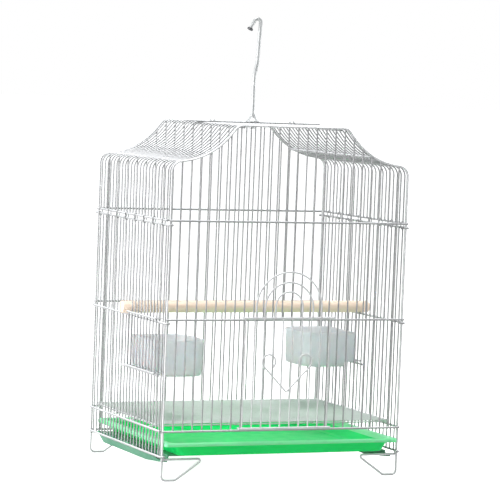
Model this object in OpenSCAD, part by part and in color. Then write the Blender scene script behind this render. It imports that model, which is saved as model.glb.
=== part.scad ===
// Wire bird cage with a pagoda roof, a swivel hook, a pull-out tray, two hung cups and a perch.
// The origin is under the middle of the cage, on the plane that its feet stand on.
// The front is -Y and up is +Z. The two side panels are one part, used twice, half a turn apart.

/* [Cage] */
// Width between the centres of the corner posts
cage_w = 300; // [290:1:310]
// Depth between the front bars and the back bars
cage_d = 230; // [225:1:240]
// Height of the side and back panels' base rails
base_z = 28.5; // [28:0.1:29]
// Height of the lower rails, which the floor grid lies on
lower_z = 57.4; // [56:0.2:60]
// Height of the front and back panels' middle rails
middle_z = 185.7; // [184:0.1:187]
// Height of the upper rails, where the roof's skirts begin
upper_z = 299; // [297:1:303]

/* [Roof] */
// Height of the corner that the eave would have if it weren't rounded
eave_z = 365; // [363:0.5:367]
// Radius of the rounded eave
eave_r = 12; // [10:1:13]
// Distance from the middle to the corner that the roof's upward sweep is rounded from
sweep_x = 99.6; // [98:0.1:101]
// Height of that corner
sweep_z = 372; // [370:0.5:374]
// Radius of the upward sweep
sweep_r = 88; // [80:1:92]
// Distance from the middle to the corner at the end of the flat ridge
ridge_x = 69.4; // [67:0.1:72]
// Height of the flat ridge
ridge_z = 408.8; // [406:0.1:412]
// Radius of the bend at the end of the ridge
ridge_r = 10; // [8:1:12]

/* [Wire] */
// Diameter of the bars
bar_d = 1.8; // [1.6:0.1:1.9]
// Diameter of the rails
rail_d = 2.6; // [2.4:0.1:2.8]
// Diameter of the corner posts and the gable edges
post_d = 2.2; // [2:0.1:2.4]
// Diameter of the wire that the feet are bent from
foot_d = 2.8; // [2.6:0.1:2.8]

/* [Front door] */
// Height of the door's top rail
door_top_z = 188.2; // [188:0.1:189]
// Height of the door's bottom rail
door_bottom_z = 60; // [59.8:0.1:61]
// Half the width of the biggest arch over the door
arch_half_w = 41.5; // [38:0.5:44]
// Height of the biggest arch
arch_h = 52; // [48:1:56]

/* [Feeders] */
// Height of the sill rail that a cup hangs on
sill_z = 120; // [118:1:122]
// Depth of a cup, from the side wall inwards
cup_depth = 67; // [60:1:70]
// Width of a cup, along the side wall
cup_w = 76; // [74:1:80]
// Height of a cup
cup_h = 42.5; // [40:0.5:44]

/* [Perch] */
// Diameter of the wooden perch
perch_d = 14.4; // [12:0.2:14.4]
// Length of the wooden perch
perch_l = 324; // [320:1:328]

/* [Tray] */
// Height of the tray's underside
tray_z = 29.6; // [29.5:0.1:30]
// Height of the tray's rim
tray_rim_z = 45; // [43:0.5:48]
// Thickness of the tray's plastic
tray_wall = 1.6; // [1.4:0.1:2]

/* [Hook] */
// Diameter of the hook's rod
hook_d = 4.4; // [4:0.1:5]
// Height at which the hook's shaft steps to one side
hook_step_z = 465; // [455:1:475]
// Height of the corner that the bend over the top is rounded from
hook_corner_z = 549; // [546:0.5:551]
// Radius of the bend over the top
hook_r = 4.3; // [4.1:0.1:4.6]

/* [Hidden] */
$fn = 48;

half_w = cage_w / 2;
half_d = cage_d / 2;
front_spaces = 25;
side_spaces = 24;
front_pitch = cage_w / front_spaces;
side_pitch = cage_d / side_spaces;
// How deep crossing wires sink into each other where they are welded
weld = 0.3;
// How far straight wires and arcs stop short of the middle of their sleeves
joint = 0.2;
// How far the ends of bars and of rails run past the wires that they are welded to
bar_end = 0.6;
rail_end = 1;
// The least air between pieces that pass each other
gap = 0.3;
// The air between pieces that rest on each other
touch = 0.05;

// Rails lie outside the bars, and their ends curl round the corner posts and the feet's legs
rail_out = (bar_d + rail_d) / 2 - weld;
curl_r = (foot_d + rail_d) / 2 + 0.1;
side_rail_x = half_w + curl_r;
side_x = side_rail_x - rail_out;
panel_rail_y = half_d + rail_out;
side_middle_z = middle_z - 4.2;
side_top_z = upper_z - 5;
// The outermost bars of the side panels and the roof stand just inside the corner posts
edge_y = half_d - 3.2;
post_foot_z = lower_z - 1.4;

// Jambs of the front door, counted in bars from the left post
door_jambs = [8, 17];
// Diameter of the wire of the rings that tie the doors to their jambs
ring_d = 1.2;
door_wire_d = 2.6;
// Diameter of the wire that the heart and the arches are bent from
trim_d = 2.2;
door_bar_y = panel_rail_y + rail_d / 2 + gap + bar_d / 2;
door_rail_y = door_bar_y + (bar_d + door_wire_d) / 2 - weld;
trim_y = door_bar_y + (bar_d + trim_d) / 2 + touch;

// Jambs of a feeder door, counted in bars from the front post of the left side panel
feeder_jambs = [2, 11];
feeder_wire_d = 2.2;
feeder_bar_x = side_rail_x + rail_d / 2 + gap + bar_d / 2;
feeder_rail_x = feeder_bar_x + (bar_d + feeder_wire_d) / 2 - weld;
feeder_top_z = side_middle_z + 4;
feeder_bottom_z = sill_z + 2.4;
sill_y = [-101, 14];

// Cups, drawn for the left wall
cup_wall = 1.8;
cup_wall_x = -side_x + bar_d / 2 + gap + ring_d + gap;
cup_y = -79;
cup_corner_r = 20;
cup_bottom_z = 115.5;
cup_step = [12.5, 6];
cup_lip = [2, 55];
cup_lip_y = -70;

hook_y = side_pitch / 2;
strap = [174, 12, 1.5];
strap_z = ridge_z + bar_d / 2 + touch;
rivet_x = 52;
under_z = ridge_z - bar_d / 2 - touch;

// The hook's rod as [x, z] points: shaft, step, corner over the top, and the end of the short arm
hook_bore_d = hook_d + 0.12;
// Width and height of the upset head under the washer, and of the flat head on the short arm
hook_head = [8.4, 2.8];
hook_foot_z = under_z - 4.2;
hook_points = [[0, hook_foot_z], [0, hook_step_z], [3.6, hook_step_z + 16], [7, hook_corner_z],
  [-6.8, hook_corner_z - 26.2]];
hook_radii = [0, 30, 30, hook_r, 0];
arm_head = [7, 2.5];

wire_white = [0.90, 0.91, 0.90];
tray_green = [0.05, 0.80, 0.36];
runner_green = [0.48, 0.70, 0.58];
cup_grey = [0.72, 0.80, 0.82];
wood = [0.90, 0.74, 0.60];
zinc = [0.62, 0.62, 0.60];

function bar_x(k) = -half_w + front_pitch * k;
function bar_y(k) = -half_d + side_pitch * k;
side_bar_ys = concat([-edge_y], [for (k = [1 : side_spaces - 1]) bar_y(k)], [edge_y]);

// Slopes of the roof's edge near the eave and near the ridge, and its rounded corners' centres
eave_slope = atan2(sweep_z - eave_z, half_w - sweep_x);
ridge_slope = atan2(ridge_z - sweep_z, sweep_x - ridge_x);
sweep_cut = sweep_r * tan((ridge_slope - eave_slope) / 2);
ridge_cut = ridge_r * tan(ridge_slope / 2);
sweep_start = [sweep_x + sweep_cut * cos(eave_slope), sweep_z - sweep_cut * sin(eave_slope)];
sweep_end_x = sweep_x - sweep_cut * cos(ridge_slope);
sweep_c = sweep_start + sweep_r * [sin(eave_slope), cos(eave_slope)];
ridge_start_x = ridge_x + ridge_cut * cos(ridge_slope);
ridge_c = [ridge_x - ridge_cut, ridge_z - ridge_r];

// Height of the gable's edge at a distance x from the middle
function gable_z(x) =
  x > sweep_start[0] ? eave_z + (half_w - x) * tan(eave_slope)
  : x > sweep_end_x ? sweep_c[1] - sqrt(pow(sweep_r, 2) - pow(sweep_c[0] - x, 2))
  : x > ridge_start_x ? sweep_z + (sweep_x - x) * tan(ridge_slope)
  : x > ridge_c[0] ? ridge_c[1] + sqrt(pow(ridge_r, 2) - pow(x - ridge_c[0], 2))
  : ridge_z;

function direction(a) = [cos(a), sin(a)];
function heading(v) = atan2(v[1], v[0]);
// Angle through which the path turns at corner i, and what its rounding cuts off each leg
function turn(points, i) =
  let (u = points[i] - points[i - 1], v = points[i + 1] - points[i])
  atan2(u[0] * v[1] - u[1] * v[0], u[0] * v[0] + u[1] * v[1]);
function cut(points, radii, i) = radii[i] * tan(abs(turn(points, i)) / 2);
// Heading of the line from point p that touches a circle, on the side that side (1 or -1) gives
function tangent_heading(p, c, r, side) = heading(c - p) + side * asin(r / norm(c - p));
function tangent_length(p, c, r) = sqrt(pow(norm(c - p), 2) - pow(r, 2));

// A straight round wire between two points
module rod(p, q, d) {
  v = q - p;
  translate(p)
    rotate([0, acos(v[2] / norm(v)), atan2(v[1], v[0])])
      cylinder(d = d, h = norm(v));
}

module rod_x(x0, x1, y, z, d) {
  rod([x0, y, z], [x1, y, z], d);
}

module rod_y(y0, y1, x, z, d) {
  rod([x, y0, z], [x, y1, z], d);
}

module rod_z(z0, z1, x, y, d) {
  rod([x, y, z0], [x, y, z1], d);
}

// A straight wire in the plane of constant y, between two [x, z] points
module flat_rod(p, q, y, d) {
  rod([p[0], y, p[1]], [q[0], y, q[1]], d);
}

// An arc of round wire in that plane, about centre c, from angle a0 to a1 above +X
module flat_arc(c, r, a0, a1, y, d) {
  translate([c[0], y, c[1]])
    rotate([90, 0, 0])
      rotate([0, 0, a0])
        rotate_extrude(angle = a1 - a0)
          translate([r, 0])
            circle(d = d);
}

// The short thicker stretch at p that joins a straight wire of direction u to an arc
module sleeve(p, u, y, d) {
  flat_rod(p - u * 0.5, p + u * 0.5, y, d + 0.3);
}

// One rounded corner of a bent wire
module wire_corner(points, radii, i, y, d) {
  a = turn(points, i);
  s = sign(a);
  u = (points[i] - points[i - 1]) / norm(points[i] - points[i - 1]);
  c = points[i] - u * cut(points, radii, i) + s * radii[i] * [-u[1], u[0]];
  start = heading(u) - s * 90;
  relief = joint / radii[i] * 180 / PI;
  flat_arc(c, radii[i], min(start, start + a) + relief, max(start, start + a) - relief, y, d);
}

// The legs first to last of a bent wire, with the corners between them and, if tail is 1, one more
module bent_wire(points, radii, y, d, first = 0, last = -1, tail = 0) {
  ends = len(points) - 2;
  stop = last < 0 ? ends : last;
  for (i = [first : stop]) {
    u = (points[i + 1] - points[i]) / norm(points[i + 1] - points[i]);
    p = i == 0 ? points[0] : points[i] + u * (cut(points, radii, i) + joint);
    q = i == ends ? points[i + 1] : points[i + 1] - u * (cut(points, radii, i + 1) + joint);
    flat_rod(p, q, y, d);
    if (i < stop + tail)
      sleeve(points[i + 1] - u * cut(points, radii, i + 1), u, y, d);
    if (i > first)
      sleeve(points[i] + u * cut(points, radii, i), u, y, d);
  }
  for (i = [first + 1 : 1 : stop + tail])
    wire_corner(points, radii, i, y, d);
}

// Right half of the roof's edge, from the foot of the skirt to the middle of the ridge
function roof_points(x, foot_z) =
  [[x, foot_z], [x, eave_z], [sweep_x, sweep_z], [ridge_x, ridge_z], [0, ridge_z]];
roof_radii = [0, eave_r, sweep_r, ridge_r, 0];

// The whole edge of a gable, post to post
gable_points = [[half_w, post_foot_z], [half_w, eave_z], [sweep_x, sweep_z], [ridge_x, ridge_z],
  [-ridge_x, ridge_z], [-sweep_x, sweep_z], [-half_w, eave_z], [-half_w, post_foot_z]];
gable_radii = [0, eave_r, sweep_r, ridge_r, ridge_r, sweep_r, eave_r, 0];

module both_sides() {
  children();
  mirror([1, 0, 0])
    children();
}

module half_turn() {
  rotate([0, 0, 180])
    children();
}

// An arc of round wire in a level plane, about centre c, from angle a0 to a1 above +X
module level_arc(c, r, a0, a1, z, d) {
  translate([c[0], c[1], z])
    rotate([0, 0, a0])
      rotate_extrude(angle = a1 - a0)
        translate([r, 0])
          circle(d = d);
}

// The bent wire that is a gable's edge and its two corner posts
module gable_wire(y) {
  color(wire_white)
    bent_wire(gable_points, gable_radii, y, post_d);
}

// The bars of a gable and their rails. The bars that are skipped below start at the middle rail
module gable_panel(y, rail_y, foot_z, skipped) {
  for (k = [1 : front_spaces - 1]) {
    in_door = len(search(k, skipped)) > 0;
    rod_z(in_door ? middle_z - bar_end : foot_z, gable_z(abs(bar_x(k))), bar_x(k), y, bar_d);
  }
  for (z = [lower_z, middle_z, upper_z])
    rod_x(-half_w - 1.6, half_w + 1.6, rail_y, z, rail_d);
}

module front_panel() {
  color(wire_white)
    gable_panel(-half_d, -panel_rail_y, lower_z - bar_end,
      [for (k = [door_jambs[0] + 1 : door_jambs[1] - 1]) k]);
}

module back_panel() {
  color(wire_white) {
    gable_panel(half_d, panel_rail_y, base_z - bar_end, []);
    rod_x(bar_x(1) - 4, bar_x(front_spaces - 1) + 4, panel_rail_y, base_z, rail_d);
  }
}

// A rail along the side whose ends curl round the posts
module curled_rail(z) {
  rod_y(-half_d, half_d, -side_rail_x, z, rail_d);
  level_arc([-half_w, -half_d], curl_r, 180, 345, z, rail_d);
  level_arc([-half_w, half_d], curl_r, 15, 180, z, rail_d);
}

module side_panel() {
  color(wire_white) {
    for (i = [0 : side_spaces]) {
      y = side_bar_ys[i];
      if (i > feeder_jambs[0] && i < feeder_jambs[1]) {
        rod_z(base_z - bar_end, sill_z + bar_end, -side_x, y, bar_d);
        rod_z(side_middle_z - bar_end, side_top_z + bar_end, -side_x, y, bar_d);
      } else {
        rod_z(base_z - bar_end, side_top_z + bar_end, -side_x, y, bar_d);
      }
    }
    curled_rail(base_z);
    curled_rail(side_middle_z);
    curled_rail(side_top_z);
    rod_y(-edge_y - rail_end, edge_y + rail_end, -side_rail_x, lower_z, rail_d);
    rod_y(sill_y[0], sill_y[1], -side_rail_x, sill_z, rail_d);
  }
}

// One side of the roof's skirt and eave, drawn at +X
module roof_skirt() {
  points = roof_points(side_x, upper_z - bar_end);
  color(wire_white) {
    for (y = side_bar_ys)
      bent_wire(points, roof_radii, y, bar_d, 0, 0, 1);
    rod_y(-edge_y - rail_end, edge_y + rail_end, side_rail_x, upper_z, rail_d);
  }
}

// One slope of the roof, drawn at +X, with a rail under the middle of its sweep
module roof_slope() {
  points = roof_points(side_x, upper_z);
  middle = (eave_slope + ridge_slope) / 2;
  rail = sweep_c - (sweep_r + rail_out) * [sin(middle), cos(middle)];
  color(wire_white) {
    for (y = side_bar_ys)
      bent_wire(points, roof_radii, y, bar_d, 1, 2, 1);
    rod_y(-edge_y - rail_end, edge_y + rail_end, rail[0], rail[1], rail_d);
  }
}

module roof_ridge() {
  color(wire_white) {
    for (y = side_bar_ys)
      rod_x(-ridge_c[0] + joint, ridge_c[0] - joint, y, ridge_z, bar_d);
    for (s = [-1, 1])
      rod_y(-edge_y - rail_end, edge_y + rail_end, s * (ridge_c[0] - 3), ridge_z - rail_out, rail_d);
  }
}

// The links that tie the roof's skirt to the side panel, drawn at +X
module roof_links() {
  link_d = 1.2;
  link_r = (rail_d + link_d) / 2 + 0.15;
  color(wire_white)
    for (i = [0 : 7]) {
      y = (i - 3.5) * 3 * side_pitch;
      flat_arc([side_rail_x, upper_z], link_r, 0, 180, y, link_d);
      flat_arc([side_rail_x, side_top_z], link_r, 180, 360, y, link_d);
      for (s = [-1, 1])
        rod_z(side_top_z, upper_z, side_rail_x + s * link_r, y, link_d);
    }
}

// A flat bar along the ridge that the hook hangs from
module ridge_strap() {
  color(wire_white)
    difference() {
      translate([-strap[0] / 2, hook_y - strap[1] / 2, strap_z])
        cube(strap);
      translate([0, hook_y, strap_z - 1])
        cylinder(d = hook_bore_d, h = strap[2] + 2);
      for (s = [-1, 1])
        translate([s * rivet_x, hook_y, strap_z - 1])
          cylinder(d = 3.2, h = strap[2] + 2);
    }
}

module ridge_rivets() {
  color(zinc)
    for (s = [-1, 1])
      translate([s * rivet_x, hook_y, 0]) {
        translate([0, 0, under_z - 2.2])
          cylinder(d = 13, h = 2.2);
        translate([0, 0, under_z - 0.5])
          cylinder(d = 3, h = strap_z + strap[2] - under_z + 1);
        translate([0, 0, strap_z + strap[2] + touch])
          intersection() {
            translate([0, 0, -1.6])
              sphere(d = 8.4);
            cylinder(d = 9, h = 4);
          }
      }
}

module hook() {
  color(zinc) {
    bent_wire(hook_points, hook_radii, hook_y, hook_d);
    translate([0, hook_y, hook_foot_z - 0.5])
      cylinder(d = hook_head[0], h = hook_head[1]);
  }
}

// The flat head on the end of the hook's short arm
module hook_tip() {
  u = (hook_points[4] - hook_points[3]) / norm(hook_points[4] - hook_points[3]);
  color(zinc)
    flat_rod(hook_points[4] + touch * u, hook_points[4] + (touch + arm_head[1]) * u, hook_y, arm_head[0]);
}

module hook_collar() {
  z = strap_z + strap[2] + touch;
  color(zinc)
    translate([0, hook_y, z])
      rotate_extrude()
        polygon([[hook_bore_d / 2, 0], [8.4, 0], [8.4, 1.2], [5.6, 2.6], [4, 5.4], [3.6, 9.5],
          [hook_bore_d / 2, 9.5]]);
}

module hook_washer() {
  color(zinc)
    translate([0, hook_y, under_z - 1.6])
      difference() {
        cylinder(d = 14, h = 1.6);
        translate([0, 0, -1])
          cylinder(d = hook_bore_d, h = 4);
      }
}

// A ring in a level plane that ties a door to its jamb, drawn round the origin
module door_ring(r, z) {
  translate([0, 0, z])
    rotate_extrude()
      translate([r, 0])
        circle(d = ring_d);
}

module front_door() {
  back_y = -half_d + bar_d / 2 + gap + ring_d / 2;
  r = (back_y + door_rail_y) / 2;
  end_x = bar_x(door_jambs[1]) + r;
  color(wire_white) {
    for (k = [door_jambs[0] : door_jambs[1]])
      rod_z(door_bottom_z - bar_end, door_top_z + bar_end, bar_x(k), -door_bar_y, bar_d);
    for (z = [door_bottom_z, door_top_z]) {
      rod_x(-end_x, end_x, -door_rail_y, z, door_wire_d);
      for (k = door_jambs)
        translate([bar_x(k), -door_rail_y + r, 0])
          door_ring(r, z);
    }
  }
}

// A heart of bent wire, open at the top, whose ends curl inwards
module door_heart() {
  point = [0, 102];
  lobe = [23.3, 137.5];
  lobe_r = 8.3;
  side = tangent_heading(point, lobe, lobe_r, -1);
  end = point + tangent_length(point, lobe, lobe_r) * direction(side);
  relief = joint / lobe_r * 180 / PI;
  color(wire_white) {
    translate([point[0], -trim_y, point[1]])
      sphere(d = trim_d + 0.3);
    both_sides() {
      flat_rod(point + joint * direction(side), end - joint * direction(side), -trim_y, trim_d);
      sleeve(end, direction(side), -trim_y, trim_d);
      flat_arc(lobe, lobe_r, side - 90 + relief, 230, -trim_y, trim_d);
    }
  }
}

// Three arches that stand one inside another on the door's top rail
module door_arches() {
  foot_z = door_top_z + door_wire_d / 2 + touch;
  color(wire_white)
    for (size = [[arch_half_w, arch_h], [30.7, 40], [17, 29]]) {
      spring_z = foot_z + size[1] - size[0];
      flat_arc([0, spring_z], size[0], 0, 180, -trim_y, trim_d);
      for (s = [-1, 1])
        rod_z(foot_z, spring_z, s * size[0], -trim_y, trim_d);
    }
}

// The rear jamb has a ring only at the foot of the door, because the perch's end is beside its top
module feeder_door() {
  back_x = -side_x + bar_d / 2 + gap + ring_d / 2;
  r = (back_x + feeder_rail_x) / 2;
  front_y = bar_y(feeder_jambs[0]);
  rear_y = bar_y(feeder_jambs[1]);
  color(wire_white) {
    for (k = [feeder_jambs[0] : feeder_jambs[1]])
      rod_z(feeder_bottom_z - bar_end, feeder_top_z + bar_end, -feeder_bar_x, bar_y(k), bar_d);
    rod_y(front_y - r, rear_y + r, -feeder_rail_x, feeder_bottom_z, feeder_wire_d);
    rod_y(front_y - r, rear_y + 1.4, -feeder_rail_x, feeder_top_z, feeder_wire_d);
    for (place = [[front_y, feeder_bottom_z], [front_y, feeder_top_z], [rear_y, feeder_bottom_z]])
      translate([-feeder_rail_x + r, place[0], 0])
        door_ring(r, place[1]);
  }
}

// Plan of a cup: flat against the wall, round at the two inner corners
module cup_plan(inset) {
  r = cup_corner_r - inset;
  translate([cup_wall_x + inset, cup_y + inset])
    square([cup_depth - cup_corner_r - inset, cup_w - 2 * inset]);
  translate([cup_wall_x + cup_depth - cup_corner_r - 1, cup_y + cup_corner_r])
    square([cup_corner_r + 1 - inset, cup_w - 2 * cup_corner_r]);
  for (y = [cup_y + cup_corner_r, cup_y + cup_w - cup_corner_r])
    translate([cup_wall_x + cup_depth - cup_corner_r, y])
      circle(r = r);
}

module cup() {
  color(cup_grey) {
    difference() {
      translate([0, 0, cup_bottom_z])
        linear_extrude(cup_h)
          cup_plan(0);
      translate([cup_wall_x - 1, cup_y - 1, cup_bottom_z - 1])
        cube([cup_step[0] + 1, cup_w + 2, cup_step[1] + 1]);
      difference() {
        translate([0, 0, cup_bottom_z + cup_wall])
          linear_extrude(cup_h)
            cup_plan(cup_wall);
        translate([cup_wall_x - 1, cup_y - 1, cup_bottom_z])
          cube([cup_step[0] + cup_wall + 1, cup_w + 2, cup_step[1] + cup_wall]);
      }
    }
    translate([-side_rail_x - 1.1, cup_lip_y, cup_bottom_z + cup_step[1]])
      cube([side_rail_x + 1.1 + cup_wall_x + 1, cup_lip[1], cup_lip[0]]);
  }
}

// A dowel whose slotted ends straddle the middle bar of each side panel
module perch() {
  slot = bar_d + 0.6;
  color(wood)
    difference() {
      rod_x(-perch_l / 2, perch_l / 2, 0, side_middle_z + (rail_d + perch_d) / 2 + touch, perch_d);
      for (s = [-1, 1])
        translate([s * (side_x + perch_l / 4 - 2) - perch_l / 4, -slot / 2, side_middle_z])
          cube([perch_l / 2, slot, perch_d + 6]);
    }
}

// The grid under the bird: top wires on four rails, on four bearers that rest on the side panels' rails
module floor_grid() {
  bearer_z = lower_z + (rail_d + bar_d) / 2 + touch;
  frame_z = bearer_z + rail_out;
  frame_x = side_x - (bar_d + rail_d) / 2 - 1.2;
  front_row = -10;
  back_row = 10;
  front_y = (front_row + 0.5) * side_pitch;
  back_y = (back_row + 0.5) * side_pitch;
  color(wire_white) {
    for (i = [front_row : back_row])
      rod_x(-frame_x - rail_end, frame_x + rail_end, (i + 0.5) * side_pitch, frame_z + rail_out, bar_d);
    for (i = [front_row + 1 : 6 : back_row - 1])
      rod_x(-side_rail_x - rail_end, side_rail_x + rail_end, (i + 0.5) * side_pitch, bearer_z, bar_d);
    for (x = [-frame_x, -frame_x / 3, frame_x / 3, frame_x])
      rod_y(front_y - rail_end, back_y + rail_end, x, frame_z, rail_d);
  }
}

// The pan's section across the cage, with ends that slope out to a given width at the rim
module pan_section(bottom_x, top_x, bottom_z, top_z) {
  polygon([[-bottom_x, bottom_z], [bottom_x, bottom_z], [top_x, top_z], [-top_x, top_z]]);
}

// Extrudes a section in the plane of X and Z from y0 back to y1
module along_y(y0, y1) {
  translate([0, y1, 0])
    rotate([90, 0, 0])
      linear_extrude(y1 - y0)
        children();
}

// A pan with a flat rim. Its front face covers the slot, and its front rim passes before the posts
module tray() {
  top_x = 141;
  bottom_x = 131;
  front_y = -half_d - 4.4;
  back_y = 98;
  rim_t = 2;
  lip_h = 5;
  side_rim_x = half_w - foot_d / 2 - 0.4;
  front_rim_y = front_y - 2.2;
  post_y = -half_d + 3;
  draft = (top_x - bottom_x) / (tray_rim_z - tray_z);
  color(tray_green)
    difference() {
      union() {
        along_y(front_y, back_y)
          pan_section(bottom_x, top_x, tray_z, tray_rim_z);
        translate([-side_rim_x, post_y, tray_rim_z - rim_t])
          cube([2 * side_rim_x, back_y + 3 - post_y, rim_t]);
        translate([-half_w + 0.5, front_rim_y, tray_rim_z - lip_h])
          cube([cage_w - 1, -half_d - 2.3 - front_rim_y, lip_h]);
        translate([-side_rim_x, front_rim_y + 1, tray_rim_z - rim_t])
          cube([2 * side_rim_x, post_y - front_rim_y, rim_t]);
      }
      along_y(front_y + tray_wall, back_y - tray_wall)
        pan_section(bottom_x - tray_wall + draft * tray_wall, top_x - tray_wall + draft,
          tray_z + tray_wall, tray_rim_z + 1);
    }
}

// The guide under the tray's edge, drawn at +X: a shelf under the tray and a pocket that hangs below
// it and runs out to a point at the front. Tabs hook it over the side panel's base rail
module tray_runner() {
  top_z = tray_z - 0.3;
  bottom_z = 16;
  wall = 1.4;
  outer_x = side_x - bar_d / 2 - 0.1;
  shelf_x = [118, 139.6];
  back_y = 90;
  front_y = -107;
  under_cut = [59, 5.3];
  over_cut = [87, 8.4];
  color(runner_green)
    union() {
      difference() {
        along_y(front_y, back_y)
          polygon([[outer_x, top_z + 1.6], [outer_x - wall, top_z + 1.6], [outer_x - wall, 27.5],
            [142.4, bottom_z + 2], [shelf_x[1], top_z], [shelf_x[0], top_z], [shelf_x[0], top_z - wall],
            [shelf_x[1] - wall, top_z - wall], [141.4, bottom_z], [143, bottom_z], [outer_x, 27]]);
        translate([shelf_x[0] - 1, front_y, bottom_z + under_cut[1]])
          rotate([-atan2(under_cut[1], under_cut[0]), 0, 0])
            translate([0, -10, -20])
              cube([60, norm(under_cut) + 10, 20]);
        translate([shelf_x[1], front_y, top_z + 1.6 - over_cut[1]])
          rotate([atan2(over_cut[1], over_cut[0]), 0, 0])
            translate([0, -10, 0])
              cube([20, norm(over_cut) + 20, 20]);
      }
      for (k = [10, 15, 20])
        translate([outer_x - 1, bar_y(k) + side_pitch / 2 - 2.5, base_z + rail_d / 2 + 0.2])
          cube([side_rail_x - outer_x + 1.8, 5, 1.2]);
    }
}

// A foot of one bent wire, drawn at the front left: tie, slant, sole, and the leg that the tie is
// welded to
module foot() {
  sole_z = foot_d / 2;
  tie_z = base_z - (rail_d + foot_d) / 2 - gap;
  points = [[0.9 - half_w, tie_z], [52 - half_w, tie_z], [17 - half_w, sole_z], [-half_w, sole_z],
    [-half_w, post_foot_z - touch]];
  radii = [0, 2.2, 5, 5, 0];
  color(wire_white)
    bent_wire(points, radii, -half_d, foot_d);
}

gable_wire(-half_d);  // front_gable
gable_wire(half_d);  // back_gable
front_panel();
back_panel();
side_panel();  // left_side_panel
half_turn() side_panel();  // right_side_panel
mirror([1, 0, 0]) roof_skirt();  // left_roof_skirt
roof_skirt();  // right_roof_skirt
mirror([1, 0, 0]) roof_slope();  // left_roof_slope
roof_slope();  // right_roof_slope
roof_ridge();
mirror([1, 0, 0]) roof_links();  // left_roof_links
roof_links();  // right_roof_links
ridge_strap();
ridge_rivets();
hook();
hook_tip();
hook_collar();
hook_washer();
front_door();
door_heart();
door_arches();
feeder_door();  // left_feeder_door
half_turn() feeder_door();  // right_feeder_door
cup();  // left_cup
half_turn() cup();  // right_cup
perch();
floor_grid();
tray();
mirror([1, 0, 0]) tray_runner();  // left_tray_runner
tray_runner();  // right_tray_runner
foot();  // front_left_foot
mirror([1, 0, 0]) foot();  // front_right_foot
mirror([0, 1, 0]) foot();  // back_left_foot
half_turn() foot();  // back_right_foot
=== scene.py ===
import math

import bmesh
import bpy
from mathutils import Matrix, Vector


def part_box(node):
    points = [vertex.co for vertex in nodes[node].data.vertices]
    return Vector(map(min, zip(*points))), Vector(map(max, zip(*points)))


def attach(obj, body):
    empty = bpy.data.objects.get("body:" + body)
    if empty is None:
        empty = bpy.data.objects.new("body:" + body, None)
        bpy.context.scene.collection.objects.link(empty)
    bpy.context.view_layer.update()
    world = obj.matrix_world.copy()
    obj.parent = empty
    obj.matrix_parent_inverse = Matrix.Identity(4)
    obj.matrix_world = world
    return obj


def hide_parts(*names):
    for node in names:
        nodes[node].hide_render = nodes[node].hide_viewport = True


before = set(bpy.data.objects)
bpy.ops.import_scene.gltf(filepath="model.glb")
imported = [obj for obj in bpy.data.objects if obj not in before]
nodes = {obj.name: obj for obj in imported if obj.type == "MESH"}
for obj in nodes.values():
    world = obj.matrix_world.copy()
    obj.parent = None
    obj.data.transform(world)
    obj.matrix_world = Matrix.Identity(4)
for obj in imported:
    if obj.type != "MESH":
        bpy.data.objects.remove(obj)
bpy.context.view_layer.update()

MM = 0.001


# ---------- camera ----------

CAMERA_PLACE = Vector((-1.32194, -2.96762, 0.47680))
CAMERA_AZIMUTH = math.radians(-24.032)
CAMERA_ELEVATION = math.radians(3.853)
CAMERA_ROLL = math.radians(2.214)
CAMERA_LENS = 195.85


def make_camera():
    camera = bpy.data.objects.new("camera", bpy.data.cameras.new("camera"))
    bpy.context.scene.collection.objects.link(camera)
    back = Vector((math.sin(CAMERA_AZIMUTH) * math.cos(CAMERA_ELEVATION),
                   -math.cos(CAMERA_AZIMUTH) * math.cos(CAMERA_ELEVATION),
                   math.sin(CAMERA_ELEVATION)))
    level = (-back).cross(Vector((0, 0, 1))).normalized()
    upright = level.cross(-back)
    right = level * math.cos(CAMERA_ROLL) + upright * math.sin(CAMERA_ROLL)
    up = upright * math.cos(CAMERA_ROLL) - level * math.sin(CAMERA_ROLL)
    turn = Matrix((right, up, back)).transposed()
    camera.matrix_world = Matrix.Translation(CAMERA_PLACE) @ turn.to_4x4()
    camera.data.sensor_width = 36
    camera.data.lens = CAMERA_LENS
    camera.data.clip_start = 0.05
    bpy.context.scene.camera = camera


# ---------- materials ----------

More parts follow.
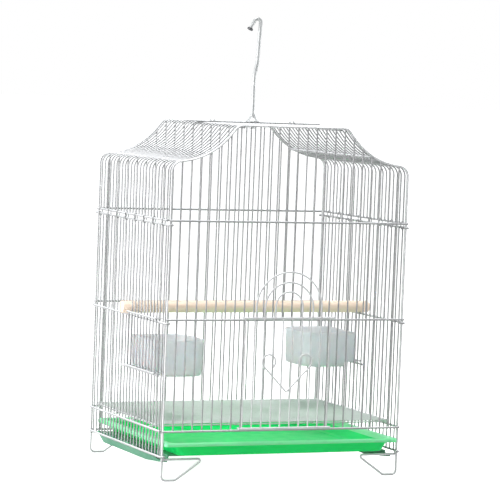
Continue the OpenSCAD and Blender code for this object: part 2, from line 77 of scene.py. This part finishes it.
class Shader:
    """A Principled material with short calls for its nodes. Its coordinates are the frame's, in metres."""

    def __init__(self, name):
        self.material = bpy.data.materials.new(name)
        self.material.use_nodes = True
        self.tree = self.material.node_tree
        self.bsdf = self.tree.nodes["Principled BSDF"]
        self.place = self.add("ShaderNodeTexCoord").outputs["Object"]

    def add(self, kind, **values):
        made = self.tree.nodes.new(kind)
        for key, value in values.items():
            setattr(made, key, value)
        return made

    def link(self, source, target):
        self.tree.links.new(source, target)

    def set(self, **values):
        for key, value in values.items():
            self.bsdf.inputs[key.replace("_", " ")].default_value = value
        return self

    def stretched(self, scale):
        mapping = self.add("ShaderNodeMapping")
        mapping.inputs["Scale"].default_value = scale
        self.link(self.place, mapping.inputs["Vector"])
        return mapping.outputs["Vector"]

    def noise(self, scale, detail=3, rough=0.55, vector=None):
        made = self.add("ShaderNodeTexNoise")
        made.inputs["Scale"].default_value = scale
        made.inputs["Detail"].default_value = detail
        made.inputs["Roughness"].default_value = rough
        self.link(vector or self.place, made.inputs["Vector"])
        return made.outputs["Fac"]

    def ramp(self, fac, stops):
        made = self.add("ShaderNodeValToRGB")
        points = made.color_ramp.elements
        while len(points) < len(stops):
            points.new(0.5)
        for point, (at, colour) in zip(points, stops):
            point.position = at
            point.color = (*colour, 1)
        self.link(fac, made.inputs["Fac"])
        return made.outputs["Color"]

    def spread(self, fac, low, high, start=0.3, end=0.7):
        made = self.add("ShaderNodeMapRange")
        made.inputs["From Min"].default_value = start
        made.inputs["From Max"].default_value = end
        made.inputs["To Min"].default_value = low
        made.inputs["To Max"].default_value = high
        self.link(fac, made.inputs["Value"])
        return made.outputs["Result"]

    def mix(self, fac, a, b):
        made = self.add("ShaderNodeMix", data_type="RGBA")
        self.link(fac, made.inputs["Factor"])
        for value, socket in ((a, made.inputs[6]), (b, made.inputs[7])):
            if isinstance(value, tuple):
                socket.default_value = (*value, 1)
            else:
                self.link(value, socket)
        return made.outputs[2]

    def axis(self, source, name):
        made = self.add("ShaderNodeSeparateXYZ")
        self.link(source, made.inputs["Vector"])
        return made.outputs[name]

    def colour(self, source):
        self.link(source, self.bsdf.inputs["Base Color"])
        return self

    def roughness(self, source):
        self.link(source, self.bsdf.inputs["Roughness"])
        return self

    def bump(self, height, strength, distance):
        made = self.add("ShaderNodeBump")
        made.inputs["Strength"].default_value = strength
        made.inputs["Distance"].default_value = distance
        self.link(height, made.inputs["Height"])
        self.link(made.outputs["Normal"], self.bsdf.inputs["Normal"])
        return self


def painted_wire(name, light, shade, top):
    """White paint over drawn wire: soft clouding, orange peel, a little dirt, and a painted highlight that
    makes the wire whiter where it faces up."""
    s = Shader(name)
    clouds = s.noise(26, 4)
    dirt = s.noise(170, 5, 0.7)
    painted_top_light = s.axis(s.add("ShaderNodeNewGeometry").outputs["Normal"], "Z")
    # Painted light: the top colour whitens the wire where it faces up, as if lit from above
    base = s.mix(s.spread(painted_top_light, 0, 1, 0.15, 0.9), s.ramp(clouds, [(0.3, shade), (0.7, light)]), top)
    soiled = s.spread(dirt, 0, 0.28, 0.56, 0.72)
    s.colour(s.mix(soiled, base, tuple(c * 0.72 for c in shade)))
    s.roughness(s.spread(s.noise(90), 0.26, 0.46))
    s.bump(s.noise(1400, 4), 0.22, 0.00012)
    return s.set(IOR=1.5, Coat_Weight=0.5, Coat_Roughness=0.2).material


def plated_steel():
    """Bright zinc plating, clouded white: drawn lines along the rod and dull patches."""
    s = Shader("plated_steel")
    clouds = s.noise(60, 4)
    lines = s.noise(900, 3, 0.6, s.stretched((1, 1, 0.04)))
    s.colour(s.ramp(clouds, [(0.3, (0.46, 0.47, 0.475)), (0.55, (0.58, 0.59, 0.59)),
                             (0.75, (0.51, 0.52, 0.525))]))
    s.roughness(s.spread(lines, 0.28, 0.45))
    s.bump(lines, 0.15, 0.0001)
    return s.set(Metallic=0.35).material


def shaded_tip_steel():
    """The end of the hook, scratched, and darker as painted shade where it turns down away from the light.
    """
    s = Shader("shaded_tip_steel")
    clouds = s.noise(240, 5, 0.65)
    s.colour(s.ramp(clouds, [(0.3, (0.05, 0.05, 0.055)), (0.7, (0.2, 0.2, 0.21))]))
    s.roughness(s.spread(clouds, 0.3, 0.55))
    s.bump(clouds, 0.2, 0.0001)
    return s.set(Metallic=0.9).material


# Height in metres where the tray's thin rim begins, and the height over which its green turns paler as
# painted light
RIM_FOOT = 0.0402
RIM_BLEND = 0.0006


def tray_plastic():
    """Bright green moulded plastic with a fine grain and faint flow marks, paler in the thin rim as a
    painted highlight and glow.
    """
    s = Shader("tray_plastic")
    flow = s.noise(7, 5, 0.6, s.stretched((1, 2.4, 1)))
    green = s.ramp(flow, [(0.3, (0.003, 0.84, 0.17)), (0.7, (0.012, 0.90, 0.22))])
    # Painted light: the rim's paler green stands for its highlight and the light shining through it
    painted_rim_light = s.spread(s.axis(s.place, "Z"), 0, 1, RIM_FOOT, RIM_FOOT + RIM_BLEND)
    s.colour(s.mix(painted_rim_light, green, (0.28, 0.90, 0.46)))
    s.roughness(s.spread(s.noise(60), 0.28, 0.42))
    s.bump(s.noise(2200, 2), 0.12, 0.0001)
    return s.set(IOR=1.49, Specular_IOR_Level=0.08, Transmission_Weight=0.3, Subsurface_Weight=0.25,
                 Subsurface_Radius=(0.004, 0.014, 0.006)).material


def runner_plastic():
    """Matt grey-green moulded plastic with faint flow marks."""
    s = Shader("runner_plastic")
    flow = s.noise(18, 4)
    s.colour(s.ramp(flow, [(0.3, (0.075, 0.25, 0.155)), (0.7, (0.12, 0.31, 0.20))]))
    s.roughness(s.spread(s.noise(120), 0.42, 0.62))
    s.bump(s.noise(1600, 3), 0.2, 0.00012)
    return s.set(IOR=1.49).material


def cup_plastic():
    """Milky moulded plastic that lets some light through, cloudier where it is thick."""
    s = Shader("cup_plastic")
    milk = s.noise(14, 4)
    s.colour(s.ramp(milk, [(0.3, (0.93, 0.955, 0.985)), (0.7, (0.97, 0.98, 0.99))]))
    s.roughness(s.spread(s.noise(80), 0.3, 0.45))
    s.bump(s.noise(1800, 2), 0.08, 0.0001)
    return s.set(IOR=1.46, Transmission_Weight=0.75, Subsurface_Weight=0.5,
                 Subsurface_Radius=(0.008, 0.010, 0.011)).material


def perch_wood():
    """Bare turned softwood: growth bands and darker fibres along it, and broad paler patches."""
    s = Shader("perch_wood")
    long_way = s.stretched((0.05, 1, 1))
    bands = s.noise(260, 4, 0.6, long_way)
    fibres = s.noise(2400, 3, 0.6, long_way)
    patches = s.noise(30, 3, 0.5, s.stretched((0.25, 1, 1)))
    grain = s.ramp(bands, [(0.3, (0.82, 0.63, 0.49)), (0.55, (0.90, 0.73, 0.59)),
                           (0.75, (0.86, 0.68, 0.53))])
    base = s.mix(s.spread(patches, 0, 0.35), grain, (0.90, 0.75, 0.62))
    s.colour(s.mix(s.spread(fibres, 0, 0.25, 0.55, 0.8), base, (0.62, 0.44, 0.32)))
    s.roughness(s.spread(bands, 0.5, 0.7))
    s.bump(fibres, 0.25, 0.0002)
    return s.material


def floor_paint():
    """A pale studio floor that only the camera sees glow, so that it is as white as the backdrop."""
    s = Shader("floor_paint")
    s.colour(s.ramp(s.noise(3), [(0.3, (0.62, 0.62, 0.62)), (0.7, (0.65, 0.65, 0.65))]))
    s.bsdf.inputs["Emission Color"].default_value = (1, 1, 1, 1)
    s.link(s.add("ShaderNodeLightPath").outputs["Is Camera Ray"], s.bsdf.inputs["Emission Strength"])
    return s.set(Roughness=0.9, Specular_IOR_Level=0.0).material


# One white paint in two tones: greyed as painted shade for the close rows of bars, whiter for the gables,
# feet, door and floor grid; top is a painted highlight
SHADED_WIRE = painted_wire("shaded_wire_paint", light=(0.35, 0.35, 0.355), shade=(0.28, 0.283, 0.287),
                    top=(0.76, 0.765, 0.785))
EDGE_WIRE = painted_wire("edge_paint", light=(0.62, 0.62, 0.63), shade=(0.53, 0.535, 0.54),
                         top=(0.82, 0.825, 0.84))
STEEL = plated_steel()
SHADED_TIP = shaded_tip_steel()
GREEN = tray_plastic()
RUNNER = runner_plastic()
MILKY = cup_plastic()
WOOD = perch_wood()


def dress(thing, material):
    thing.data.materials.clear()
    thing.data.materials.append(material)


# ---------- mesh helpers ----------

def finish_piece(piece, material, body, slot, *stands_for):
    """Gives a piece its material and body, and hides the CAD nodes that it stands for. slot is not used.
    """
    dress(piece, material)
    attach(piece, body)
    if stands_for:
        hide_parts(*stands_for)
    return piece


def mesh_piece(name, bm):
    bmesh.ops.recalc_face_normals(bm, faces=bm.faces)
    data = bpy.data.meshes.new(name)
    bm.to_mesh(data)
    bm.free()
    for face in data.polygons:
        face.use_smooth = True
    piece = bpy.data.objects.new(name, data)
    bpy.context.scene.collection.objects.link(piece)
    return piece


def bent(points, radii, step=6):
    """A path through flat corner points, each rounded to its radius. step is degrees per segment."""
    points = [Vector(p) for p in points]
    path = [points[0]]
    for before, corner, after, radius in zip(points, points[1:], points[2:], radii):
        u = (corner - before).normalized()
        v = (after - corner).normalized()
        angle = u.angle(v)
        side = u.x * v.y - u.y * v.x
        normal = Vector((-u.y, u.x)) * (1 if side > 0 else -1)
        start = corner - u * radius * math.tan(angle / 2)
        count = max(2, math.ceil(math.degrees(angle) / step))
        for i in range(count + 1):
            a = angle * i / count
            path.append(start + u * radius * math.sin(a) + normal * radius * (1 - math.cos(a)))
    path.append(points[-1])
    return path


def arc(centre, radius, start, end, step=6):
    """A flat arc. start, end and step are in degrees."""
    count = max(2, math.ceil(abs(end - start) / step))
    turns = [math.radians(start + (end - start) * i / count) for i in range(count + 1)]
    return [Vector(centre) + radius * Vector((math.cos(a), math.sin(a))) for a in turns]


def in_gable(path, y):
    """A flat path stood upright in the plane at y, facing the front."""
    return [Vector((p.x, y, p.y)) for p in path]


def around(sides):
    """Angles evenly spaced round a full turn."""
    return [2 * math.pi * k / sides for k in range(sides)]


def skin(bm, rings):
    """Joins rings of vertices in their order and fills both ends."""
    for a, b in zip(rings, rings[1:]):
        for k in range(len(a)):
            bm.faces.new((a[k], a[(k + 1) % len(a)], b[(k + 1) % len(a)], b[k]))
    bm.faces.new(rings[0])
    bm.faces.new(rings[-1])


def wires(name, paths, sides=10):
    """Round wires along 3-D paths in millimetres, each with its radius, as one mesh."""
    bm = bmesh.new()
    for path, radius in paths:
        rings = []
        last = len(path) - 1
        before = None
        for i, p in enumerate(path):
            ahead = (path[min(i + 1, last)] - p).normalized() if i < last else Vector()
            behind = (p - path[max(i - 1, 0)]).normalized() if i else Vector()
            along = (ahead + behind).normalized()
            if before is None:
                helper = Vector((0, 1, 0)) if abs(along.y) < 0.9 else Vector((1, 0, 0))
                across = along.cross(helper).normalized()
            else:
                across = (before - along * before.dot(along)).normalized()
            before = across
            other = along.cross(across)
            rings.append([bm.verts.new((p + (across * math.cos(a) + other * math.sin(a)) * radius) * MM)
                          for a in around(sides)])
        skin(bm, rings)
    piece = mesh_piece(name, bm)
    crisp(piece, 50)
    return piece


def crisp(piece, degrees):
    """Smooth shading that keeps edges sharper than the angle."""
    piece.data.set_sharp_from_angle(angle=math.radians(degrees))


def lofted(name, rings):
    """A closed skin over rings of [x, y, z] points in millimetres, with both ends filled."""
    bm = bmesh.new()
    skin(bm, [[bm.verts.new(Vector(p) * MM) for p in ring] for ring in rings])
    return mesh_piece(name, bm)


def box(size, middle):
    """A plain box for cutting or bevelling, sized and placed in millimetres."""
    bm = bmesh.new()
    bmesh.ops.create_cube(bm, size=1)
    for vert in bm.verts:
        vert.co = (Vector([a * b for a, b in zip(vert.co, size)]) + middle) * MM
    return bm


def soften(node, width, angle=30, segments=2):
    """Rounds a carried-over CAD node's edges without changing its mesh."""
    thing = nodes[node]
    thing.modifiers.new("weld", "WELD").merge_threshold = 1e-6
    bevel = thing.modifiers.new("bevel", "BEVEL")
    bevel.width = width * MM
    bevel.segments = segments
    bevel.limit_method = "ANGLE"
    bevel.angle_limit = math.radians(angle)
    bevel.harden_normals = True


# ---------- dimensions in millimetres, from the frame where it has them ----------

def span(node):
    low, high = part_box(node)
    return low / MM, high / MM


POST_R = 1.1
BAR_R = 0.9
RAIL_R = 1.3
FOOT_R = 1.4
TRIM_R = 1.1
ROD_R = 2.2
# From the middle of a rail to the middle of a bar that is welded to it
RAIL_TO_BAR = 1.9
# Spaces between the roof's rows, and from a gable to the row outside it
ROWS = 24
OUTER_ROW = 3.2

gable_low, gable_high = span("front_gable")
HALF_W = gable_high.x - POST_R
GABLE_Y = (gable_low.y + gable_high.y) / 2
RIDGE_Z = gable_high.z - POST_R
POST_FOOT_Z = gable_low.z
PITCH_Y = -2 * GABLE_Y / ROWS
EDGE_Y = -GABLE_Y - OUTER_ROW
skirt_low, skirt_high = span("right_roof_skirt")
RAIL_X = skirt_high.x - RAIL_R
SIDE_X = RAIL_X - RAIL_TO_BAR
SKIRT_Z = skirt_low.z + RAIL_R

# Corners of the roof's edge before they are rounded, and the radii of their rounding
EAVE_Z = 365
SWEEP_X = 99.6
SWEEP_Z = 372
RIDGE_X = 69.4
EAVE_R, SWEEP_R, RIDGE_R = 12, 88, 10
ROOF_RADII = [EAVE_R, SWEEP_R, RIDGE_R, RIDGE_R, SWEEP_R, EAVE_R]
RIDGE_SLOPE = math.atan2(RIDGE_Z - SWEEP_Z, SWEEP_X - RIDGE_X)
RIDGE_RAIL_X = RIDGE_X - RIDGE_R * math.tan(RIDGE_SLOPE / 2) - 3


def roof_edge(x, foot_z):
    """The outline of a gable or a roof row: up one side, over the ridge and down the other."""
    right = [(x, foot_z), (x, EAVE_Z), (SWEEP_X, SWEEP_Z), (RIDGE_X, RIDGE_Z)]
    return bent(right + [(-a, b) for a, b in reversed(right)], ROOF_RADII, 4)


# ---------- pieces ----------

def make_gables():
    for node, y in (("front_gable", GABLE_Y), ("back_gable", -GABLE_Y)):
        path = in_gable(roof_edge(HALF_W, POST_FOOT_Z), y)
        finish_piece(wires(node + "_wire", [(path, POST_R)], 14), EDGE_WIRE, "cage", "wire_white", node)


def make_roof():
    """Rows that run over the cage from side to side, and the rails under them that run front to back."""
    bar_end_z = skirt_low.z + 0.7
    edge = roof_edge(SIDE_X, bar_end_z)
    rows = [-EDGE_Y] + [GABLE_Y + PITCH_Y * k for k in range(1, ROWS)] + [EDGE_Y]
    paths = [(in_gable(edge, y), BAR_R) for y in rows]
    for x, z in ((RAIL_X, SKIRT_Z), sweep_rail(), (RIDGE_RAIL_X, RIDGE_Z - RAIL_TO_BAR)):
        for side in (-1, 1):
            rail = [Vector((side * x, y, z)) for y in (-EDGE_Y - 1, EDGE_Y + 1)]
            paths.append((rail, RAIL_R))
    roof = wires("roof_wires", paths)
    finish_piece(roof, SHADED_WIRE, "cage", "wire_white", "left_roof_skirt", "right_roof_skirt",
                 "left_roof_slope", "right_roof_slope", "roof_ridge")


def sweep_rail():
    """Place of the rail under the middle of the roof's sweep, worked out as the sweep's own arc is."""
    eave = math.atan2(SWEEP_Z - EAVE_Z, HALF_W - SWEEP_X)
    cut = SWEEP_R * math.tan((RIDGE_SLOPE - eave) / 2)
    start = Vector((SWEEP_X + cut * math.cos(eave), SWEEP_Z - cut * math.sin(eave)))
    centre = start + SWEEP_R * Vector((math.sin(eave), math.cos(eave)))
    middle = (eave + RIDGE_SLOPE) / 2
    place = centre - (SWEEP_R + RAIL_TO_BAR) * Vector((math.sin(middle), math.cos(middle)))
    return place.x, place.y


def make_feet():
    """Each foot is one bent wire: along under the base rail, down to the ground and up to the rail."""
    high = span("front_right_foot")[1]
    x = high.x - FOOT_R
    base_rail_z = 28.5
    tie_z = base_rail_z - RAIL_R - FOOT_R - 0.3
    reach, sole = 52, 17
    corners = [(x - 0.9, tie_z), (x - reach, tie_z), (x - sole, FOOT_R), (x, FOOT_R), (x, high.z)]
    for node, side, y in (("front_right_foot", 1, GABLE_Y), ("front_left_foot", -1, GABLE_Y),
                          ("back_right_foot", 1, -GABLE_Y), ("back_left_foot", -1, -GABLE_Y)):
        path = [Vector((side * p.x, y, p.y)) for p in bent(corners, [2.2, 5, 5])]
        foot = wires(node + "_wire", [(path, FOOT_R)], 14)
        finish_piece(foot, EDGE_WIRE, "cage", "wire_white", node)


def make_trim():
    """The heart on the door and the arches over it, in the plane of their CAD solids."""
    low, high = span("door_arches")
    y = (low.y + high.y) / 2
    half_widths_and_heights = ((high.x - TRIM_R, 52), (30.7, 40), (17, 29))
    paths = []
    for half, top in half_widths_and_heights:
        spring = low.z + top - half
        ring = arc((0, spring), half, 0, 180, 4)
        path = [Vector((half, low.z)), *ring, Vector((-half, low.z))]
        paths.append((in_gable(path, y), TRIM_R))
    finish_piece(wires("door_arch_wires", paths), EDGE_WIRE, "front_door", "wire_white", "door_arches")
    make_heart(y)


def make_heart(y):
    """Two mirrored wires, each straight from the tip and then round its lobe to the middle."""
    tip = Vector((0, 102))
    lobe = Vector((23.3, 137.5))
    lobe_r = 8.3
    reach = lobe - tip
    lean = math.degrees(math.atan2(reach.y, reach.x)) - math.degrees(math.asin(lobe_r / reach.length))
    half = [tip, *arc(lobe, lobe_r, lean - 90, 230, 8)]
    paths = [(in_gable([Vector((s * p.x, p.y)) for p in half], y), TRIM_R) for s in (-1, 1)]
    finish_piece(wires("door_heart_wire", paths), EDGE_WIRE, "front_door", "wire_white", "door_heart")


def make_hook():
    """A rod with a step in its shaft, bent tightly over at the top, and with a head at each end."""
    low, high = span("hook")
    y = (low.y + high.y) / 2
    top = high.z - ROD_R
    step_low, step_high = (0, 465), (3.6, 481)
    bend = (7, top + 14.95)
    arm_end = Vector((-6.8, top - 11.3))
    step_r, bend_r = 30, 4.3
    corners = [(0, low.z + 0.5), step_low, step_high, bend, arm_end]
    path = in_gable(bent(corners, [step_r, step_r, bend_r], 5), y)
    finish_piece(wires("hook_rod", [(path, ROD_R)], 20), STEEL, "hook", "zinc", "hook")
    head_profile = [(0, 0), (3.8, 0), (4.2, 0.4), (4.2, 2.4), (3.8, 2.8), (0, 2.8)]
    head = revolved("hook_head", (0, y), [(r, low.z + z) for r, z in head_profile])
    finish_piece(head, STEEL, "hook", "zinc")
    make_arm_head(arm_end, (arm_end - Vector(bend)).normalized(), y)
    make_collar(y)


def make_arm_head(end, along, y):
    """The flat head on the end of the hook's short arm, upset from the rod, with a rounded rim."""
    profile = [(0, 0.05), (2.9, 0.05), (3.35, 0.3), (3.5, 0.8), (3.5, 1.8), (3.3, 2.3), (2.8, 2.5),
               (0, 2.55)]
    cap = revolved("hook_cap", (0, 0), profile, 32)
    turn = Vector((0, 0, 1)).rotation_difference(Vector((along.x, 0, along.y))).to_matrix().to_4x4()
    cap.data.transform(Matrix.Translation(Vector((end.x, y, end.y)) * MM) @ turn)
    crisp(cap, 40)
    # Painted shade: the head gets the dark steel for the shade it sits in
    finish_piece(cap, SHADED_TIP, "hook", "zinc", "hook_tip")


def make_collar(y):
    """A flange with a bell over it that flares down from a neck round the rod."""
    low, high = span("hook_collar")
    bore, neck, flare = 2.26, 3.6, 4.0
    profile = [(bore, low.z), (8.1, low.z), (8.4, low.z + 0.3), (8.4, low.z + 0.9), (8.1, low.z + 1.25)]
    for i in range(9):
        share = i / 8
        profile.append((neck + flare * (1 - share) ** 2.6, low.z + 1.4 + 7.3 * share))
    profile += [(3.4, high.z - 0.15), (3.1, high.z), (bore, high.z)]
    collar = revolved("hook_bell", (0, y), profile, closed=True)
    crisp(collar, 40)
    finish_piece(collar, STEEL, "cage", "zinc", "hook_collar")


def revolved(name, centre, profile, sides=40, closed=False):
    """A turned piece about a vertical axis. The profile's points are (radius, height)."""
    bm = bmesh.new()
    rings = []
    for radius, z in profile:
        if radius == 0:
            rings.append([bm.verts.new(Vector((centre[0], centre[1], z)) * MM)] * sides)
            continue
        rings.append([bm.verts.new(Vector((centre[0] + radius * math.cos(a),
                                           centre[1] + radius * math.sin(a), z)) * MM)
                      for a in around(sides)])
    pairs = list(zip(rings, rings[1:])) + ([(rings[-1], rings[0])] if closed else [])
    for a, b in pairs:
        for k in range(sides):
            corners = []
            for vert in (a[k], a[(k + 1) % sides], b[(k + 1) % sides], b[k]):
                if vert not in corners:
                    corners.append(vert)
            if len(corners) > 2:
                bm.faces.new(corners)
    return mesh_piece(name, bm)


def rounded_box(x, y0, y1, r, z, steps=6):
    """A level ring with rounded corners, between -x and x and y0 and y1."""
    ring = []
    corners = ((x - r, y1 - r, 0), (r - x, y1 - r, 90), (r - x, y0 + r, 180), (x - r, y0 + r, 270))
    for cx, cy, start in corners:
        for p in arc((cx, cy), r, start, start + 90, 90 / steps):
            ring.append((p.x, p.y, z))
    return ring


def make_tray():
    """A pan whose walls lean out to a rolled rim, with a raised edge round its floor. The rings run from
    the middle of the underside, up the outside, over the rim and down to the middle of the floor."""
    low, high = span("tray")
    rim_x = HALF_W - 1.8
    rim_front = low.y + 0.1
    rim_back = high.y
    pan_front = low.y + 2.2
    pan_back = rim_back - 3
    top_x = 141
    lean = 10
    top = high.z
    foot = low.z

    def pan(inset, z, r=9):
        x = top_x - lean * (top - z) / (top - foot) - inset
        return rounded_box(x, pan_front + inset, pan_back - inset, r - min(inset, r - 2) * 0.5, z)

    def rim(inset, z, r=4):
        return rounded_box(rim_x - inset, rim_front + inset, rim_back - inset, max(r - inset, 1.2), z)

    rings = [pan(12, foot), pan(2, foot), pan(1.2, foot + 0.3), pan(0.6, foot + 1.2),
             pan(0.4, top - 5), pan(0.3, top - 3.4), pan(0, top - 2.5), rim(2.2, top - 2.2),
             rim(1.3, top - 3.2), rim(0.9, top - 4.6), rim(0.4, top - 4.9), rim(0.05, top - 4.4),
             rim(0, top - 2.8), rim(0.3, top - 1.5), rim(1.0, top - 0.6), rim(1.9, top - 0.04),
             pan(0.4, top - 0.25), pan(1.4, top - 0.45), pan(2.1, top - 1.1), pan(2.5, top - 2.2),
             pan(4.4, foot + 4.2), pan(5.1, foot + 2.9), pan(6.4, foot + 2.5), pan(12, foot + 2.5),
             pan(12.8, foot + 2.3), pan(13.4, foot + 1.8), pan(14.4, foot + 1.6), pan(30, foot + 1.6)]
    tray = lofted("tray_pan", rings)
    crisp(tray, 40)
    finish_piece(tray, GREEN, "tray", "tray_plastic", "tray")


def cup_ring(wall_x, room_x, y0, y1, z, room_r, wall_r=1.2):
    """A level ring: square corners at the wall, well rounded ones in the room."""
    ring = []
    corners = ((room_x - room_r, y1 - room_r, 0, room_r), (wall_x + wall_r, y1 - wall_r, 90, wall_r),
               (wall_x + wall_r, y0 + wall_r, 180, wall_r), (room_x - room_r, y0 + room_r, 270, room_r))
    for cx, cy, start, r in corners:
        for p in arc((cx, cy), r, start, start + 90, 7.5):
            ring.append((p.x, p.y, z))
    return ring


def make_cups():
    """The left cup, D-shaped in plan with a step under its wall side, and its twin turned half a turn.
    The rings run up the outside, over the lip and down the inside. wall sets the wall side further in."""
    low, high = span("left_cup")
    wall_x = -148.2
    room_x = high.x
    y0, y1 = -79, -3
    room_r = 20
    foot, top = low.z, high.z
    step = foot + 6

    def outer(inset, z, wall=0.0):
        return cup_ring(wall_x + wall + inset * 0.3, room_x - inset, y0 + inset, y1 - inset, z,
                        room_r - inset)

    rings = [outer(9, foot, 12.5), outer(4, foot + 0.02, 12.5), outer(2.6, foot + 0.5, 12.5),
             outer(1.9, foot + 1.6, 12.5), outer(1.6, step - 0.5, 12.5), outer(1.55, step - 0.1, 12),
             outer(1.55, step, 11.1), outer(1.5, step, 1), outer(1.45, step + 0.3, 0.3),
             outer(1.4, step + 1, 0), outer(0.7, top - 4.2), outer(0.6, top - 3.6),
             outer(0.05, top - 3.3), outer(0, top - 2.8), outer(0, top - 0.5), outer(0.2, top - 0.1),
             outer(0.6, top), outer(1.6, top), outer(2.0, top - 0.15), outer(2.2, top - 0.6),
             outer(3.2, step + 4, 0.6), outer(3.6, step + 2.6, 0.8), outer(4.2, step + 2, 1.4),
             outer(4.3, step + 1.8, 11.9), outer(4.4, step + 1.4, 12.9), outer(4.6, foot + 3.2, 13.1),
             outer(5.4, foot + 2.2, 13.7), outer(7, foot + 1.8, 14.7), outer(14, foot + 1.8, 16.5)]
    cup = lofted("left_feeder_cup", rings)
    crisp(cup, 50)
    flange = cup_flange()
    for side, body in ((0, "left_cup"), (math.pi, "right_cup")):
        turn = Matrix.Rotation(side, 4, "Z")
        for part, stem in ((cup, "feeder_cup"), (flange, "cup_flange")):
            name = ("left_" if side == 0 else "right_") + stem
            piece = part if side == 0 else bpy.data.objects.new(name, part.data.copy())
            piece.name = name
            if side:
                bpy.context.scene.collection.objects.link(piece)
                piece.data.transform(turn)
            finish_piece(piece, MILKY, body, "cup_plastic", *([body] if stem == "feeder_cup" else []))


def cup_flange():
    """The lip that reaches out between the jambs and hangs over the sill."""
    low = span("left_cup")[0]
    out_x, in_x = low.x, -147.4
    size = Vector((in_x - out_x, 55, 2))
    bm = box(size, Vector((out_x + size.x / 2, -42.5, low.z + 7)))
    bmesh.ops.bevel(bm, geom=bm.edges[:], offset=0.5 * MM, segments=3, affect="EDGES")
    flange = mesh_piece("left_cup_flange", bm)
    crisp(flange, 40)
    return flange


def make_perch():
    """A dowel with rounded ends, each slotted to straddle a bar of its side panel."""
    low, high = span("perch")
    r = (high.z - low.z) / 2
    z = (high.z + low.z) / 2
    end = high.x
    # Distance in from the end, and share of the full radius there
    rounding = [(0, 0.8), (0.35, 0.82), (1.1, 0.97), (2.2, 1)]
    stations = [(-end + a, s) for a, s in rounding] + [(0, 1)]
    stations += [(end - a, s) for a, s in reversed(rounding)]
    perch = lofted("perch_dowel", [[(x, r * share * math.cos(a), z + r * share * math.sin(a))
                                    for a in around(40)] for x, share in stations])
    slot_floor = SIDE_X - 2
    slot = Vector((40, 2.4, 40))
    cutters = []
    for side in (-1, 1):
        cutter = mesh_piece("slot_cutter", box(slot, Vector((side * (slot_floor + slot.x / 2), 0, z))))
        cutters.append(cutter)
        cut = perch.modifiers.new("slot", "BOOLEAN")
        cut.operation = "DIFFERENCE"
        cut.solver = "EXACT"
        cut.object = cutter
    settle(perch)
    for cutter in cutters:
        bpy.data.objects.remove(cutter)
    crisp(perch, 35)
    finish_piece(perch, WOOD, "cage", "perch_wood", "perch")


def settle(piece):
    """Applies the modifiers of a piece that this script made."""
    graph = bpy.context.evaluated_depsgraph_get()
    data = bpy.data.meshes.new_from_object(piece.evaluated_get(graph))
    piece.modifiers.clear()
    piece.data = data


# ---------- floor, lights and room ----------

# How bright the room is in front of the object, and behind it
DIM_ROOM = 0.17
BRIGHT_ROOM = 1.0
# Height in metres of the middle of the cage, which the lights face
AIM_Z = 0.25


def make_floor():
    bpy.ops.mesh.primitive_plane_add(size=60, location=(0, 0, -0.0004))
    floor = bpy.context.object
    floor.name = "floor"
    dress(floor, floor_paint())


def make_lights():
    def area(name, place, size, power):
        light = bpy.data.lights.new(name, "AREA")
        light.size = size
        light.energy = power
        lamp = bpy.data.objects.new(name, light)
        bpy.context.scene.collection.objects.link(lamp)
        lamp.location = place
        towards = Vector((0, 0, AIM_Z)) - Vector(place)
        lamp.rotation_euler = towards.to_track_quat("-Z", "Y").to_euler()

    area("key", (-0.95, -0.1, 0.3), 0.6, 11)
    area("fill", (0.9, -0.1, 0.35), 0.5, 4)
    area("top", (0.0, -0.3, 2.4), 1.6, 70)
    make_world()
    bpy.context.scene.view_settings.view_transform = "Standard"


def make_world():
    """A white room behind the object and a dim one in front of it. The camera sees white all round."""
    world = bpy.data.worlds.new("studio")
    bpy.context.scene.world = world
    world.use_nodes = True
    tree = world.node_tree
    link = tree.links.new
    room = tree.nodes["Background"]
    room.inputs["Color"].default_value = (0.93, 0.98, 1, 1)
    place = tree.nodes.new("ShaderNodeTexCoord")
    parts = tree.nodes.new("ShaderNodeSeparateXYZ")
    link(place.outputs["Generated"], parts.inputs["Vector"])
    depth = tree.nodes.new("ShaderNodeMapRange")
    depth.inputs["From Min"].default_value = -0.1
    depth.inputs["From Max"].default_value = 0.7
    depth.inputs["To Min"].default_value = DIM_ROOM
    depth.inputs["To Max"].default_value = BRIGHT_ROOM
    link(parts.outputs["Y"], depth.inputs["Value"])
    link(depth.outputs["Result"], room.inputs["Strength"])
    seen = tree.nodes.new("ShaderNodeBackground")
    seen.inputs["Color"].default_value = (1, 1, 1, 1)
    path = tree.nodes.new("ShaderNodeLightPath")
    choice = tree.nodes.new("ShaderNodeMixShader")
    link(path.outputs["Is Camera Ray"], choice.inputs["Fac"])
    link(room.outputs["Background"], choice.inputs[1])
    link(seen.outputs["Background"], choice.inputs[2])
    link(choice.outputs["Shader"], tree.nodes["World Output"].inputs["Surface"])


make_camera()
# The close rows of bars get the white paint greyed as painted shade
for name in nodes:
    dress(nodes[name], SHADED_WIRE)
for name in ("floor_grid", "front_door"):
    dress(nodes[name], EDGE_WIRE)
for name in ("left_tray_runner", "right_tray_runner"):
    dress(nodes[name], RUNNER)
    soften(name, 0.35)
for name in ("hook_washer", "ridge_rivets"):
    dress(nodes[name], STEEL)
soften("ridge_strap", 0.4)
make_gables()
make_roof()
make_feet()
make_trim()
make_hook()
make_tray()
make_cups()
make_perch()
make_floor()
make_lights()
